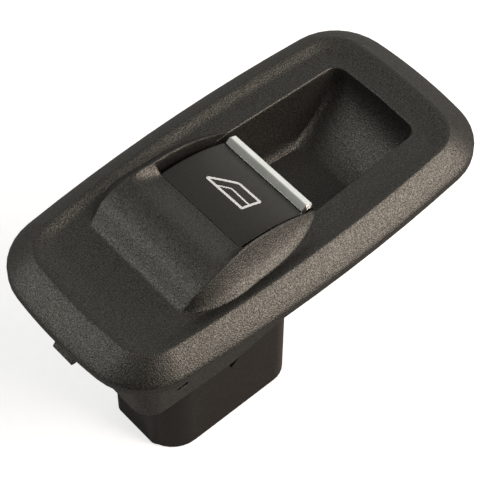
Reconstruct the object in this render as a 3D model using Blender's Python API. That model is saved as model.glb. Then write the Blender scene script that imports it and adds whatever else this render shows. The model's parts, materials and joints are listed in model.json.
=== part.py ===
"""Power window switch for one car door: bezel with finger cup, tilting rocker and switch module.

Units are metres. +X runs along the bezel from the saddle towards the finger cup, +Y across it,
+Z out of the door trim. The origin lies under the middle of the bezel, level with the bottom of
the module housing. Heights below are given from the plane that the bezel's skirt rests on, and
every piece is raised by STAND_HEIGHT when it is finished.
"""
import math

import bmesh
import bpy
from mathutils import Vector

# Bezel outline and section
BEZEL_LENGTH = 0.1147
BEZEL_WIDTH = 0.0600
HALF_LENGTH = BEZEL_LENGTH / 2
HALF_WIDTH = BEZEL_WIDTH / 2
BEZEL_CORNER = 0.0154
SIDE_BOW = 0.0019
END_BOW = 0.0007
SKIRT_HEIGHT = 0.0021
CREASE_HEIGHT = 0.0067
BAND_RUN_ENDS = 0.0071
BAND_RUN_SIDES = 0.0056
BAND_BULGE = 0.0004
DISH_DEPTH = 0.0011
DISH_RUN_ENDS = 0.0072
DISH_RUN_SIDES = 0.0036
DISH_FLOOR = CREASE_HEIGHT - DISH_DEPTH
BEZEL_WALL = 0.0020
EDGE_ROUND = 0.0004
RIB_THICKNESS = 0.0012
SEAT = 0.0003

# Rocker and the gaps round it
ROCKER_HALF_WIDTH = 0.2325 * BEZEL_WIDTH
ROCKER_LENGTH_FLAT = 0.1675 * BEZEL_LENGTH
ROCKER_TOP = 0.0100
ROCKER_ARCH_RADIUS = 0.0430
ROCKER_WALL = 0.0016
ROCKER_SKIRT_BOTTOM = 0.0010
ROCKER_FRONT_GAP = 0.0002
ROCKER_FRONT_SLANT = 0.0004
ROCKER_SIDE_GAP = 0.00125
PIVOT_X = -0.0785 * BEZEL_LENGTH
PIVOT_Z = 0.0060
PIN_RADIUS = 0.0010
PIN_CLEARANCE = 0.0001
EAR_RADIUS = 0.0018
EAR_WIDTH = 0.0022
EAR_SIDE_GAP = 0.0004

# Saddle: the raised part in front of the rocker, with its two ridges and scooped flanks
SADDLE_FRONT = -0.3065 * BEZEL_LENGTH
SADDLE_REAR = 0.0724 * BEZEL_LENGTH
SADDLE_PEAK = -0.1264 * BEZEL_LENGTH
SADDLE_DIP_START = -0.2050 * BEZEL_LENGTH
RIDGE_HEIGHT = 0.0071
RIDGE_HALF_WIDTH = ROCKER_HALF_WIDTH + ROCKER_SIDE_GAP + 0.00055
RIDGE_BULGE = 0.0009
RIDGE_TAPER = 0.0006
RIM_WIDTH = 0.0004
FLANK_MARGIN = 0.0032
FLANK_RUN = HALF_WIDTH - BAND_RUN_SIDES - FLANK_MARGIN - RIDGE_HALF_WIDTH - RIM_WIDTH
FLANK_LIP = 0.0004
SADDLE_FRONT_BLEND = 0.0060
SADDLE_CROWN = 0.0004
SADDLE_SINK = 0.0001
SADDLE_EDGE_STEP = 0.0001

# Rocker well and finger cup
WELL_FRONT = -0.1229 * BEZEL_LENGTH
WELL_HALF_WIDTH = ROCKER_HALF_WIDTH + ROCKER_SIDE_GAP
WELL_DRAFT = 0.05
WELL_FLOOR = -0.0016
WELL_WALL = 0.0015
WELL_UNDERCUT = 0.0010
WELL_LIP = 0.00015
CUP_FRONT = 0.0401 * BEZEL_LENGTH
CUP_REAR = HALF_LENGTH - BAND_RUN_ENDS - 0.0081
CUP_FLOOR = -0.0110
CUP_SCOOP = 0.0140
CUP_SCOOP_POWER = 2.2
CUP_HALF_REAR = WELL_HALF_WIDTH - 0.0013
CUP_CORNER = 0.0034
CUP_DRAFT = 0.0022
CUP_FOOT_ROUND = 0.0011
CUP_REAR_BOW = 0.0003
CUP_WALL = 0.0018

# Locating wall round the bezel's underside, which drops into the opening in the door trim
WALL_HALF_LENGTH = HALF_LENGTH - 0.0053
WALL_HALF_WIDTH = HALF_WIDTH - 0.0044
WALL_CORNER = 0.0050
WALL_THICKNESS = 0.0016
WALL_BOTTOM_FRONT = -0.0095
WALL_BOTTOM_LOW = -0.0114
WALL_BOTTOM_MIDDLE = -0.0088
WALL_BOTTOM_REAR = -0.0040
WALL_LOW_X = -0.2350 * BEZEL_LENGTH
WALL_MIDDLE_X = -0.0985 * BEZEL_LENGTH
WALL_STEP_X = -0.0122 * BEZEL_LENGTH
WALL_STEP_RUN = 0.0020
SLIT_LENGTH = 0.0032
SLIT_HEIGHT = 0.0012
SLIT_DEPTH = 0.0008

# Chrome bar on the rocker's lifting edge
BAR_DEPTH = 0.0036
BAR_RISE = 0.0011
BAR_REAR_RISE = 0.0004
BAR_LIP = 0.0002
BAR_THICKNESS = 0.0020
BAR_END_CHAMFER = 0.0006
BAR_PEG_RADIUS = 0.0008
BAR_PEG_LENGTH = 0.0012
BAR_PEG_HALF_PITCH = 0.6 * ROCKER_HALF_WIDTH

# Switch module housing, and the collar under the bezel that holds it
HOUSING_FRONT = -0.3235 * BEZEL_LENGTH
HOUSING_REAR = 0.0453 * BEZEL_LENGTH
HOUSING_HALF_WIDTH = ROCKER_HALF_WIDTH - 0.00085
HOUSING_FRONT_CORNER = 0.0088
HOUSING_REAR_CORNER = 0.0064
HOUSING_TOP = -0.0136
HOUSING_BOTTOM = -0.0620
HOUSING_DRAFT = 0.0003
HOUSING_WALL = 0.0015
COLLAR_WALL = 0.0015
COLLAR_BOTTOM = -0.0215
LATCH_X = -0.1395 * BEZEL_LENGTH
LATCH_Z = -0.0379
SOCKET_LENGTH = 0.0160
SOCKET_WIDTH = 0.0140
SOCKET_DEPTH = 0.0160
SOCKET_CENTRE = HOUSING_FRONT + HOUSING_WALL + SOCKET_LENGTH / 2
SOCKET_WALL = 0.0013
SOCKET_CORNER = 0.0010
STAND_HEIGHT = -HOUSING_BOTTOM

# Plungers, contact domes, board and carrier
PLUNGER_REACH = 0.05667 * BEZEL_LENGTH
PLUNGER_HALF_PITCH = 0.43 * ROCKER_HALF_WIDTH
PLUNGER_RADIUS = 0.0016
PLUNGER_FOOT_RADIUS = 0.0024
PLUNGER_FOOT_HEIGHT = 0.0010
PLUNGER_TOP = 0.0005
DECK_TOP = -0.0035
DECK_THICKNESS = 0.0022
BOARD_THICKNESS = 0.0016
BOARD_TOP = -0.0157
BOARD_BOTTOM = BOARD_TOP - BOARD_THICKNESS
DOME_RADIUS = 0.0030
DOME_HEIGHT = 0.0033
DOME_FLANGE = 0.0006
DOME_WALL = 0.0006
CARRIER_WALL = 0.0014
CARRIER_REAR = CUP_FRONT - CUP_WALL - SEAT
CARRIER_REAR_CORNER = 0.0030
GUIDE_WALL = 0.0012
ARM_CLEARANCE = 0.0012

# Terminals and small parts on the board
TERMINAL_COLUMNS = 3
TERMINAL_PITCH = 0.0040
TERMINAL_ROW_GAP = 0.0050
TERMINAL_WIDTH = 0.0015
TERMINAL_THICKNESS = 0.0008
TERMINAL_TAIL = 0.0010
TERMINAL_REACH = 0.0085
BLOCK_HEIGHT = 0.0050
BLOCK_MARGIN_X = 0.0008
BLOCK_MARGIN_Y = 0.0022
LIGHT_PIPE_RADIUS = 0.0016
LIGHT_PIPE_COLLAR = 0.0008
LED_SIZE = 0.0028
LED_HEIGHT = 0.0014
CHIP_SIZE = 0.0050
CHIP_HEIGHT = 0.0014
RESISTOR_LENGTH = 0.0020
RESISTOR_WIDTH = 0.0012
RESISTOR_HEIGHT = 0.0006

# Hook leg at the front of the bezel, tongue and spring clip at its rear
HOOK_HALF_WIDTH = 0.0033
HOOK_THICKNESS = 0.0020
HOOK_NOSE = 0.0011
HOOK_X = -WALL_HALF_LENGTH - 0.0025
HOOK_BOTTOM = -0.0087
CLIP_THICKNESS = 0.0006
CLIP_HALF_WIDTH = 0.0045
CLIP_HEIGHT = 0.0065
CLIP_BULGE = 0.0016
TONGUE_X = WALL_HALF_LENGTH - 0.0059
TONGUE_THICKNESS = 0.0015
TONGUE_HALF_WIDTH = 0.0055
TONGUE_BOTTOM = -0.0080

# Facet counts
SIDE_STEPS = 9
CORNER_STEPS = 8
ROUND_STEPS = 20
SADDLE_STEPS = 26
SADDLE_HOLLOW_STEPS = 12

# Places of the rocker's ends
ROCKER_FRONT = WELL_FRONT + ROCKER_FRONT_GAP
BAR_FRONT = ROCKER_FRONT + ROCKER_LENGTH_FLAT
BAR_REAR = BAR_FRONT + BAR_DEPTH
BAR_MIDDLE = (BAR_FRONT + BAR_REAR) / 2 - 0.0002


def clear_scene():
    for item in list(bpy.data.objects):
        bpy.data.objects.remove(item, do_unlink=True)


def make_material(name, colour, roughness, metallic=0.0):
    material = bpy.data.materials.new(name)
    material.use_nodes = True
    shader = material.node_tree.nodes["Principled BSDF"]
    shader.inputs["Base Color"].default_value = (*colour, 1.0)
    shader.inputs["Roughness"].default_value = roughness
    shader.inputs["Metallic"].default_value = metallic
    material.diffuse_color = (*colour, 1.0)
    return material


def object_from(name, mesh_builder):
    mesh = bpy.data.meshes.new(name)
    mesh_builder.normal_update()
    mesh_builder.to_mesh(mesh)
    mesh_builder.free()
    item = bpy.data.objects.new(name, mesh)
    bpy.context.collection.objects.link(item)
    return item


def loft(name, rings):
    """A closed solid through rings of equal point count, with its end rings filled."""
    shape = bmesh.new()
    loops = [[shape.verts.new(point) for point in ring] for ring in rings]
    count = len(loops[0])
    for lower, upper in zip(loops, loops[1:]):
        for i in range(count):
            j = (i + 1) % count
            shape.faces.new((lower[i], lower[j], upper[j], upper[i]))
    shape.faces.new(list(reversed(loops[0])))
    shape.faces.new(loops[-1])
    bmesh.ops.recalc_face_normals(shape, faces=shape.faces)
    return object_from(name, shape)


def box(name, low, high):
    (x0, y0, z0), (x1, y1, z1) = low, high
    ring = [(x0, y0), (x1, y0), (x1, y1), (x0, y1)]
    return loft(name, [[(x, y, z0) for x, y in ring], [(x, y, z1) for x, y in ring]])


def rod(name, centre, radius, z0, z1, steps=ROUND_STEPS):
    circle = [(math.cos(2 * math.pi * i / steps), math.sin(2 * math.pi * i / steps)) for i in range(steps)]
    rings = [[(centre[0] + radius * c, centre[1] + radius * s, z) for c, s in circle] for z in (z0, z1)]
    return loft(name, rings)


def turned(name, centre, profile, steps=ROUND_STEPS):
    """A solid turned about a vertical axis from (radius, height) points, lowest first."""
    circle = [(math.cos(2 * math.pi * i / steps), math.sin(2 * math.pi * i / steps)) for i in range(steps)]
    return loft(name, [[(centre[0] + r * c, centre[1] + r * s, z) for c, s in circle] for r, z in profile])


def cross_rod(name, x, z, radius, y0, y1, steps=ROUND_STEPS):
    """A rod along Y."""
    circle = [(math.cos(2 * math.pi * i / steps), math.sin(2 * math.pi * i / steps)) for i in range(steps)]
    return loft(name, [[(x + radius * c, y, z + radius * s) for c, s in circle] for y in (y0, y1)])


def extruded(name, profile, y0, y1):
    """A prism along Y from (x, z) points."""
    return loft(name, [[(x, y, z) for x, z in profile] for y in (y0, y1)])


def combine(target, tool, operation):
    """Joins, cuts or intersects two solids, and drops the tool."""
    modifier = target.modifiers.new(operation.title(), "BOOLEAN")
    modifier.operation = operation
    modifier.solver = "EXACT"
    modifier.object = tool
    bpy.context.view_layer.update()
    result = bpy.data.meshes.new_from_object(target.evaluated_get(bpy.context.evaluated_depsgraph_get()))
    target.modifiers.clear()
    old = target.data
    target.data = result
    bpy.data.meshes.remove(old)
    bpy.data.objects.remove(tool, do_unlink=True)
    return target


def join(target, *tools):
    for tool in tools:
        combine(target, tool, "UNION")
    return target


def cut(target, *tools):
    for tool in tools:
        combine(target, tool, "DIFFERENCE")
    return target


def finish(item, name, material, parent=None, smooth_angle=35.0):
    """Names a piece, cleans its mesh, gives it its material and puts its origin on its parent."""
    item.name = name
    item.data.name = name
    shape = bmesh.new()
    shape.from_mesh(item.data)
    bmesh.ops.remove_doubles(shape, verts=shape.verts, dist=0.000002)
    bmesh.ops.dissolve_degenerate(shape, edges=shape.edges, dist=0.000002)
    bmesh.ops.recalc_face_normals(shape, faces=shape.faces)
    lift = Vector((0.0, 0.0, STAND_HEIGHT))
    if parent is not None:
        lift -= parent.location
    bmesh.ops.translate(shape, verts=shape.verts, vec=lift)
    shape.to_mesh(item.data)
    shape.free()
    item.data.materials.clear()
    item.data.materials.append(material)
    item.data.shade_smooth()
    item.data.set_sharp_from_angle(angle=math.radians(smooth_angle))
    if parent is not None:
        item.parent = parent
    return item


def axis_empty(name, x, y, z):
    empty = bpy.data.objects.new(name, None)
    empty.empty_display_size = 0.01
    empty.location = (x, y, z + STAND_HEIGHT)
    bpy.context.collection.objects.link(empty)
    return empty


def smooth_step(value):
    t = min(max(value, 0.0), 1.0)
    return t * t * (3.0 - 2.0 * t)


def bowed_outline(half_length, half_width, side_bow, end_bow, corner):
    """Rounded rectangle whose four sides bow out, counter-clockwise, with a fixed point count."""
    inner_x = half_length - corner - end_bow
    inner_y = half_width - corner - side_bow
    corners = [Vector((inner_x, -inner_y)), Vector((inner_x, inner_y)),
               Vector((-inner_x, inner_y)), Vector((-inner_x, -inner_y))]
    bows = [end_bow, side_bow, end_bow, side_bow]
    sides = []
    for i in range(4):
        start, end = corners[i], corners[(i + 1) % 4]
        half_chord = (end - start).length / 2
        along = (end - start).normalized()
        out = Vector((along.y, -along.x))
        radius = (half_chord ** 2 + bows[i] ** 2) / (2 * bows[i])
        centre = (start + end) / 2 - out * (radius - bows[i])
        reach = math.asin(half_chord / radius)
        angles = [reach * (2 * k / SIDE_STEPS - 1) for k in range(SIDE_STEPS + 1)]
        sides.append([centre + (radius + corner) * (out * math.cos(a) + along * math.sin(a)) for a in angles])
    points = []
    for i in range(4):
        points += sides[i]
        centre = corners[(i + 1) % 4]
        first = sides[i][-1] - centre
        last = sides[(i + 1) % 4][0] - centre
        start = math.atan2(first.y, first.x)
        sweep = (math.atan2(last.y, last.x) - start) % (2 * math.pi)
        for k in range(1, CORNER_STEPS):
            a = start + sweep * k / CORNER_STEPS
            points.append(centre + corner * Vector((math.cos(a), math.sin(a))))
    return points


def bezel_ring(ends_in, sides_in, height):
    """The bezel's outline moved in from its edge, at one height."""
    moved = (ends_in + sides_in) / 2
    outline = bowed_outline(HALF_LENGTH - ends_in, HALF_WIDTH - sides_in, SIDE_BOW, END_BOW,
                            BEZEL_CORNER - moved)
    return [(p.x, p.y, height) for p in outline]


def band_point(t):
    """Distances in from the edge, and the height, of the outer band at t from 0 to 1."""
    height = SKIRT_HEIGHT + (CREASE_HEIGHT - SKIRT_HEIGHT) * t + BAND_BULGE * 4 * t * (1 - t)
    return BAND_RUN_ENDS * t, BAND_RUN_SIDES * t, height


def bezel_face(name, bottom, drop=0.0):
    """Skirt, sloping band, crease and dished face as a solid, or a copy of it set lower by a drop."""
    rings = [bezel_ring(0.0, 0.0, bottom), bezel_ring(0.0, 0.0, SKIRT_HEIGHT - EDGE_ROUND - drop)]
    rings.append(bezel_ring(EDGE_ROUND * 0.3, EDGE_ROUND * 0.3, SKIRT_HEIGHT - EDGE_ROUND * 0.2 - drop))
    for t in (0.10, 0.35, 0.60, 0.85):
        ends_in, sides_in, height = band_point(t)
        rings.append(bezel_ring(ends_in, sides_in, height - drop))
    rings.append(bezel_ring(BAND_RUN_ENDS * 0.95, BAND_RUN_SIDES * 0.95,
                            CREASE_HEIGHT - EDGE_ROUND * 0.3 - drop))
    rings.append(bezel_ring(BAND_RUN_ENDS, BAND_RUN_SIDES, CREASE_HEIGHT - drop))
    for t in (0.12, 0.35, 0.60, 0.85, 1.0):
        rings.append(bezel_ring(BAND_RUN_ENDS + DISH_RUN_ENDS * t, BAND_RUN_SIDES + DISH_RUN_SIDES * t,
                                CREASE_HEIGHT - DISH_DEPTH * smooth_step(t) - drop))
    return loft(name, rings)


def bezel_hollow():
    wall = BEZEL_WALL
    inner = [bezel_ring(wall, wall, -wall), bezel_ring(wall, wall, SKIRT_HEIGHT - wall)]
    for t in (0.35, 0.85):
        ends_in, sides_in, height = band_point(t)
        inner.append(bezel_ring(ends_in + wall * 0.6, sides_in + wall * 0.6, height - wall))
    inner.append(bezel_ring(BAND_RUN_ENDS + DISH_RUN_ENDS * 0.3, BAND_RUN_SIDES + DISH_RUN_SIDES * 0.3,
                            CREASE_HEIGHT - wall))
    inner.append(bezel_ring(BAND_RUN_ENDS + DISH_RUN_ENDS, BAND_RUN_SIDES + DISH_RUN_SIDES,
                            DISH_FLOOR - wall))
    return loft("bezel_hollow", inner)


def ridge_rise(x):
    """Height of the saddle's two ridges over the dish, along the bezel, with a soft start at the front."""
    if x < SADDLE_PEAK:
        u = (SADDLE_PEAK - x) / (SADDLE_PEAK - SADDLE_FRONT)
        soft = smooth_step((x - SADDLE_FRONT) / SADDLE_FRONT_BLEND)
        return RIDGE_HEIGHT * soft * (1.0 - min(u, 1.0) ** 2.2) ** 0.85
    u = (x - SADDLE_PEAK) / (SADDLE_REAR - SADDLE_PEAK)
    return RIDGE_HEIGHT * (1.0 - min(u, 1.0) ** 2.0)


def rocker_height(x):
    """Top face of the rocker, an arch that starts level at its front edge."""
    run = x - ROCKER_FRONT
    return ROCKER_TOP - ROCKER_ARCH_RADIUS + math.sqrt(ROCKER_ARCH_RADIUS ** 2 - run ** 2)


def dish_height(x, y):
    """Height of the dished face beside the saddle, where its long sides rise to the crease."""
    edge = HALF_WIDTH - SIDE_BOW * (x / HALF_LENGTH) ** 2 - BAND_RUN_SIDES
    return CREASE_HEIGHT - DISH_DEPTH * smooth_step((edge - y) / DISH_RUN_SIDES)


def saddle_levels(x):
    """Height of the ridges at one station, and how far the face between them dips below that."""
    rise = ridge_rise(x)
    full_dip = DISH_FLOOR + ridge_rise(WELL_FRONT) - ROCKER_TOP - SADDLE_EDGE_STEP
    dip = full_dip * smooth_step((x - SADDLE_DIP_START) / (WELL_FRONT - SADDLE_DIP_START))
    return DISH_FLOOR + rise - SADDLE_SINK, min(dip, rise), full_dip


def saddle_half_section(x):
    """Points (y, z) of the saddle at one station, from the middle out to the foot of the flank."""
    top, dip, full_dip = saddle_levels(x)
    front_share = min(max((x - SADDLE_FRONT) / (SADDLE_PEAK - SADDLE_FRONT), 0.0), 1.0)
    rear_share = min(max((x - SADDLE_PEAK) / (SADDLE_REAR - SADDLE_PEAK), 0.0), 1.0)
    ridge = RIDGE_HALF_WIDTH + RIDGE_BULGE * math.sin(math.pi * front_share)
    ridge -= RIM_WIDTH * (1.0 - smooth_step(front_share * 4.0)) + RIDGE_TAPER * rear_share ** 2
    middle = (SADDLE_FRONT + SADDLE_REAR) / 2
    half = (SADDLE_REAR - SADDLE_FRONT) / 2
    rim = RIM_WIDTH * (1.0 - 0.8 * rear_share ** 4)
    foot = ridge + rim + FLANK_RUN * (1.0 - min(abs((x - middle) / half), 1.0) ** 2.4)
    low = top - rim * 0.25
    lip = FLANK_LIP * smooth_step(ridge_rise(x) / (RIDGE_HEIGHT * 0.35))
    foot_height = min(dish_height(x, foot) - SADDLE_SINK + lip, low - SADDLE_SINK)
    crown = SADDLE_CROWN * (ridge_rise(x) / RIDGE_HEIGHT) * (1.0 - dip / max(full_dip, 1e-6))
    points = []
    for share in (0.0, 0.3, 0.6, 0.8, 0.86, 0.91, 0.95, 0.98):
        wall_up = max(0.0, (share - 0.8) / 0.2) ** 2
        points.append((share * ridge, top - dip * (1.0 - wall_up) + crown * (1.0 - share ** 2)))
    points += [(ridge, top), (ridge + rim, low)]
    for share in (0.08, 0.2, 0.36, 0.54, 0.75, 1.0):
        y = ridge + rim + (foot - ridge - rim) * share
        points.append((y, foot_height + (low - foot_height) * (1.0 - share) ** 1.5))
    return points


def saddle():
    """The raised part round the front of the rocker, as a solid down into the dished face."""
    rings = []
    for k in range(SADDLE_STEPS + 1):
        share = k / SADDLE_STEPS
        eased = 0.5 - 0.5 * math.cos(math.pi * share)
        x = SADDLE_FRONT + (SADDLE_REAR - SADDLE_FRONT) * (0.5 * share + 0.5 * eased)
        half = saddle_half_section(x)
        outline = half + [(half[-1][0], DISH_FLOOR - BEZEL_WALL * 0.7)]
        mirrored = [(-y, z) for y, z in reversed(outline[1:])]
        rings.append([(x, y, z) for y, z in outline + mirrored])
    return loft("saddle", rings)


def saddle_hollow():
    """Space under the saddle in front of the rocker well, narrower than the module housing."""
    front = SADDLE_FRONT + BEZEL_WALL * 1.3
    rear = WELL_FRONT - WELL_UNDERCUT - WELL_WALL
    half_width = HOUSING_HALF_WIDTH - BEZEL_WALL * 0.3
    bottom = DISH_FLOOR - BEZEL_WALL * 1.5
    rings = []
    for k in range(SADDLE_HOLLOW_STEPS + 1):
        x = front + (rear - front) * k / SADDLE_HOLLOW_STEPS
        top, dip, full_dip = saddle_levels(x)
        roof = top - dip - BEZEL_WALL
        rings.append([(x, -half_width, bottom), (x, half_width, bottom),
                      (x, half_width, roof), (x, -half_width, roof)])
    return loft("saddle_hollow", rings)


def cup_ring(height, grow, lower):
    """Outline of the finger cup at one height, grown outwards for its outer wall."""
    depth = DISH_FLOOR - CUP_FLOOR
    t = min(max((height - CUP_FLOOR) / depth, 0.0), 1.0)
    scoop = (1.0 - t) ** CUP_SCOOP_POWER
    fillet = max(0.0, 1.0 - t / 0.10)
    rear = CUP_REAR - CUP_SCOOP * scoop - CUP_FOOT_ROUND * fillet + grow
    front = CUP_FRONT - grow
    pinch = CUP_DRAFT * (1.0 - t) + CUP_FOOT_ROUND * fillet - grow
    half_front = WELL_HALF_WIDTH - pinch
    half_rear = CUP_HALF_REAR - pinch
    corner = CUP_CORNER + grow
    points = [(front, -half_front), (BAR_REAR, -half_front)]
    slope = math.atan2(half_front - half_rear, rear - BAR_REAR)
    for k in range(CORNER_STEPS + 1):
        a = -math.pi / 2 + slope + (math.pi / 2 - slope) * k / CORNER_STEPS
        points.append((rear - corner + corner * math.cos(a), -half_rear + corner + corner * math.sin(a)))
    points += [(rear + CUP_REAR_BOW, 0.0)]
    mirrored = [(x, -y) for x, y in reversed(points[:-1])]
    return [(x, y, height - lower) for x, y in points + mirrored]


def finger_cup():
    levels = [0.0, 0.02, 0.06, 0.12, 0.20, 0.30, 0.42, 0.56, 0.72, 0.88, 1.0]
    depth = DISH_FLOOR - CUP_FLOOR
    inner = [cup_ring(CUP_FLOOR + depth * level, 0.0, 0.0) for level in levels[:-1]]
    inner.append(cup_ring(DISH_FLOOR - EDGE_ROUND, 0.0, 0.0))
    inner.append(cup_ring(DISH_FLOOR, EDGE_ROUND * 0.3, EDGE_ROUND * 0.25))
    inner.append(cup_ring(DISH_FLOOR, EDGE_ROUND, -0.0001))
    outer = [cup_ring(CUP_FLOOR + depth * level, CUP_WALL, CUP_WALL) for level in levels[:-1:2]]
    outer.append(cup_ring(DISH_FLOOR, CUP_WALL, BEZEL_WALL * 0.5))
    return loft("cup_inner", inner), loft("cup_outer", outer)


def rounded_plan(x0, x1, half_width, front_corner, rear_corner, height):
    """Rounded rectangle with its own corner radius at each end."""
    points = []
    spots = [(x1 - rear_corner, -half_width + rear_corner, rear_corner, -90),
             (x1 - rear_corner, half_width - rear_corner, rear_corner, 0),
             (x0 + front_corner, half_width - front_corner, front_corner, 90),
             (x0 + front_corner, -half_width + front_corner, front_corner, 180)]
    for cx, cy, radius, start in spots:
        for k in range(CORNER_STEPS + 1):
            a = math.radians(start + 90 * k / CORNER_STEPS)
            points.append((cx + radius * math.cos(a), cy + radius * math.sin(a), height))
    return points


def collar(name, grow, bottom, top, rear=HOUSING_REAR, rear_corner=HOUSING_REAR_CORNER):
    """Column with the plan of the module housing, grown outwards."""
    return loft(name, [rounded_plan(HOUSING_FRONT - grow, rear + grow, HOUSING_HALF_WIDTH + grow,
                                    HOUSING_FRONT_CORNER + grow, rear_corner + grow, z)
                       for z in (bottom, top)])


def latch_window():
    """Three-cornered window in both side walls of the module housing."""
    profile = [(LATCH_X, LATCH_Z - 0.0022), (LATCH_X + 0.0052, LATCH_Z + 0.0024),
               (LATCH_X - 0.0016, LATCH_Z + 0.0014)]
    return extruded("latch_window", profile, -HOUSING_HALF_WIDTH - 0.001, HOUSING_HALF_WIDTH + 0.001)


def locating_wall():
    """Ring wall with a bent and stepped lower edge, deepest beside the front of the housing."""
    top = DISH_FLOOR - BEZEL_WALL * 0.4
    low = WALL_BOTTOM_LOW * 1.5

    def column(inset):
        corner = WALL_CORNER - inset
        length = WALL_HALF_LENGTH - inset
        return loft("ring", [rounded_plan(-length, length, WALL_HALF_WIDTH - inset, corner, corner, z)
                             for z in (WALL_BOTTOM_LOW * 1.1 - inset, top + inset)])

    ring = cut(column(0.0), column(WALL_THICKNESS))
    combine(ring, bezel_face("wall_limit", low, BEZEL_WALL * 0.4), "INTERSECT")
    below = [(-HALF_LENGTH, low), (-HALF_LENGTH, WALL_BOTTOM_FRONT), (WALL_LOW_X, WALL_BOTTOM_LOW),
             (WALL_MIDDLE_X, WALL_BOTTOM_MIDDLE), (WALL_STEP_X, WALL_BOTTOM_MIDDLE),
             (WALL_STEP_X + WALL_STEP_RUN, WALL_BOTTOM_REAR), (HALF_LENGTH, WALL_BOTTOM_REAR),
             (HALF_LENGTH, low)]
    cut(ring, extruded("below", below, -HALF_WIDTH, HALF_WIDTH))
    slit_front = -WALL_HALF_LENGTH + WALL_CORNER + SLIT_DEPTH + SLIT_LENGTH
    for side in (-1, 1):
        y0, y1 = sorted((side * HALF_WIDTH, side * (WALL_HALF_WIDTH - SLIT_DEPTH)))
        cut(ring, box("slit", (slit_front, y0, WALL_BOTTOM_REAR - SLIT_HEIGHT * 2),
                      (slit_front + SLIT_LENGTH, y1, WALL_BOTTOM_REAR - SLIT_HEIGHT)))
    return ring


def well(name, front, grow, bottom, top, rear):
    """Space of the rocker, a little wider at the top, or a block grown round it."""
    rings = []
    for z in (bottom, top):
        half = WELL_HALF_WIDTH + WELL_DRAFT * (z - DISH_FLOOR) + grow
        rings.append([(front, -half, z), (rear, -half, z), (rear, half, z), (front, half, z)])
    return loft(name, rings)


def well_undercut():
    """Room behind the lip of the well's front wall, where the rocker's front edge swings down."""
    lip = ROCKER_TOP - WELL_LIP
    inside = WELL_FRONT + WELL_UNDERCUT * 0.3
    profile = [(inside, lip), (WELL_FRONT, lip), (WELL_FRONT - WELL_UNDERCUT, lip - WELL_UNDERCUT),
               (WELL_FRONT - WELL_UNDERCUT, WELL_FLOOR * 0.9), (inside, WELL_FLOOR * 0.9)]
    half = (ROCKER_HALF_WIDTH + WELL_HALF_WIDTH) / 2
    return extruded("undercut", profile, -half, half)


def build_bezel(material):
    bezel = bezel_face("face", 0.0)
    join(bezel, saddle())
    cut(bezel, bezel_hollow())

    cup_inner, cup_outer = finger_cup()
    column_top = DISH_FLOOR - BEZEL_WALL * 0.6
    wall_front = WELL_FRONT - WELL_UNDERCUT - WELL_WALL
    well_block = well("well_block", wall_front, WELL_WALL, WELL_FLOOR - WELL_WALL,
                      DISH_FLOOR - BEZEL_WALL * 0.7, CUP_FRONT + CUP_WALL)
    join(bezel, well_block, cup_outer, collar("collar", COLLAR_WALL + SEAT, COLLAR_BOTTOM, column_top))
    join(bezel, *bezel_ribs(), locating_wall(), hook_leg(), clip_tongue())

    shaft = collar("shaft", SEAT, COLLAR_BOTTOM - 0.001, CUP_FLOOR - CUP_WALL - SEAT)
    upper_shaft = collar("upper_shaft", SEAT, CUP_FLOOR - CUP_WALL - 0.001, DISH_FLOOR - BEZEL_WALL * 1.1,
                         CARRIER_REAR, CARRIER_REAR_CORNER)
    well_space = well("well_space", WELL_FRONT, 0.0, WELL_FLOOR, DISH_FLOOR + RIDGE_HEIGHT * 1.5,
                      BAR_REAR - EDGE_ROUND)
    arm_half = PLUNGER_HALF_PITCH + PLUNGER_RADIUS + ARM_CLEARANCE
    arm_space = box("arm_space", (wall_front - WELL_WALL * 0.5, -arm_half, DISH_FLOOR - BEZEL_WALL * 1.4),
                    (WELL_FRONT + WELL_UNDERCUT * 0.5, arm_half, DISH_FLOOR))
    cut(bezel, shaft, upper_shaft, saddle_hollow(), well_space, well_undercut(), arm_space, cup_inner)
    return finish(bezel, "bezel", material)


def bezel_ribs():
    """Stiffening ribs under the face, from the finger cup and the collar out to the locating wall."""
    top = DISH_FLOOR - BEZEL_WALL * 0.5
    bottom = SKIRT_HEIGHT * 0.3
    outside = WALL_HALF_WIDTH - WALL_THICKNESS * 0.5
    cup_side = CUP_HALF_REAR + CUP_WALL * 0.5
    collar_side = HOUSING_HALF_WIDTH + SEAT + COLLAR_WALL * 0.5
    places = [(share * BEZEL_LENGTH, cup_side) for share in (0.131, 0.253)]
    places += [(share * BEZEL_LENGTH, collar_side) for share in (-0.28, -0.19, -0.07)]
    ribs = []
    for x, inside in places:
        for side in (-1, 1):
            y0, y1 = sorted((side * inside, side * outside))
            ribs.append(box("rib", (x, y0, bottom), (x + RIB_THICKNESS, y1, top)))
    return ribs


def hook_leg():
    """Hook under the front end, which catches behind the edge of the door trim."""
    x = HOOK_X
    profile = [(x, DISH_FLOOR - BEZEL_WALL), (x, HOOK_BOTTOM + HOOK_NOSE * 2.2),
               (x - HOOK_NOSE, HOOK_BOTTOM + HOOK_NOSE * 0.9), (x - HOOK_NOSE, HOOK_BOTTOM + HOOK_NOSE * 0.3),
               (x - HOOK_NOSE * 0.5, HOOK_BOTTOM), (x + HOOK_THICKNESS * 0.6, HOOK_BOTTOM),
               (x + HOOK_THICKNESS, HOOK_BOTTOM + HOOK_NOSE * 2.0),
               (x + HOOK_THICKNESS, DISH_FLOOR - BEZEL_WALL)]
    return extruded("hook", profile, -HOOK_HALF_WIDTH, HOOK_HALF_WIDTH)


def clip_tongue():
    """Tongue under the rear end that carries the spring clip."""
    return box("tongue", (TONGUE_X, -TONGUE_HALF_WIDTH, TONGUE_BOTTOM),
               (TONGUE_X + TONGUE_THICKNESS, TONGUE_HALF_WIDTH, CREASE_HEIGHT - BEZEL_WALL * 0.6))


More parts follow.
